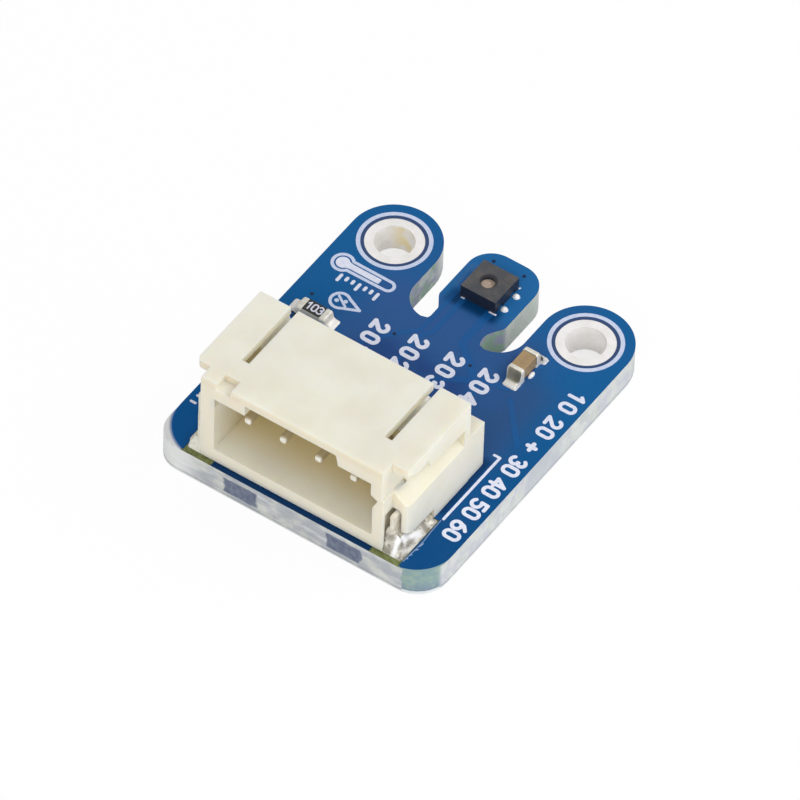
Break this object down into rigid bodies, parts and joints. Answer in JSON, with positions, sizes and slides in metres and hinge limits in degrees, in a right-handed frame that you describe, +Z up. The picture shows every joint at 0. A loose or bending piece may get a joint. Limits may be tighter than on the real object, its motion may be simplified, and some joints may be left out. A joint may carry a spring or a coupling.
{
  "type": "temperature and humidity sensor module",
  "caption": "Small blue circuit board with a side-entry wire header, mounting ears with plated holes, and a square air sensor on a tab between slots.",
  "frame": {"origin": "centre of the board's underside", "axes": "+Z up, square to the board; +Y along the board's length from the header's open side towards the sensor's tab; +X to the right seen from the open side of the header"},
  "size_m": [0.0156, 0.019, 0.0071],
  "materials": {
    "board": "blue solder mask over glass epoxy",
    "plating": "tin plating",
    "housing": "cream moulded nylon, satin",
    "contact": "tinned metal",
    "solder": "bright solder",
    "alumina": "white alumina",
    "glaze": "black resistor glaze",
    "dielectric": "tan multilayer ceramic",
    "package": "dark grey moulding compound",
    "membrane": "tan filter membrane"
  },
  "bodies": {
    "root": {"circuit_board": "board", "mounting_ring_left": "plating", "mounting_ring_right": "plating", "connector_housing": "housing", "contact_pin_1": "contact", "contact_pin_2": "contact", "contact_pin_3": "contact", "contact_pin_4": "contact", "pin_solder_1": "solder", "pin_solder_2": "solder", "pin_solder_3": "solder", "pin_solder_4": "solder", "mount_tab_left": "contact", "mount_tab_right": "contact", "tab_solder_left": "solder", "tab_solder_right": "solder", "resistor_1_body": "alumina", "resistor_2_body": "alumina", "resistor_1_overcoat": "glaze", "resistor_2_overcoat": "glaze", "resistor_1_cap_a": "contact", "resistor_1_cap_b": "contact", "resistor_2_cap_a": "contact", "resistor_2_cap_b": "contact", "resistor_1_solder_a": "solder", "resistor_1_solder_b": "solder", "resistor_2_solder_a": "solder", "resistor_2_solder_b": "solder", "capacitor_body": "dielectric", "capacitor_cap_a": "contact", "capacitor_cap_b": "contact", "capacitor_solder_a": "solder", "capacitor_solder_b": "solder", "sensor_body": "package", "sensor_membrane": "membrane", "sensor_lead_1": "contact", "sensor_lead_2": "contact", "sensor_lead_3": "contact", "sensor_lead_4": "contact", "sensor_solder_1": "solder", "sensor_solder_2": "solder", "sensor_solder_3": "solder", "sensor_solder_4": "solder"}
  },
  "joints": []
}
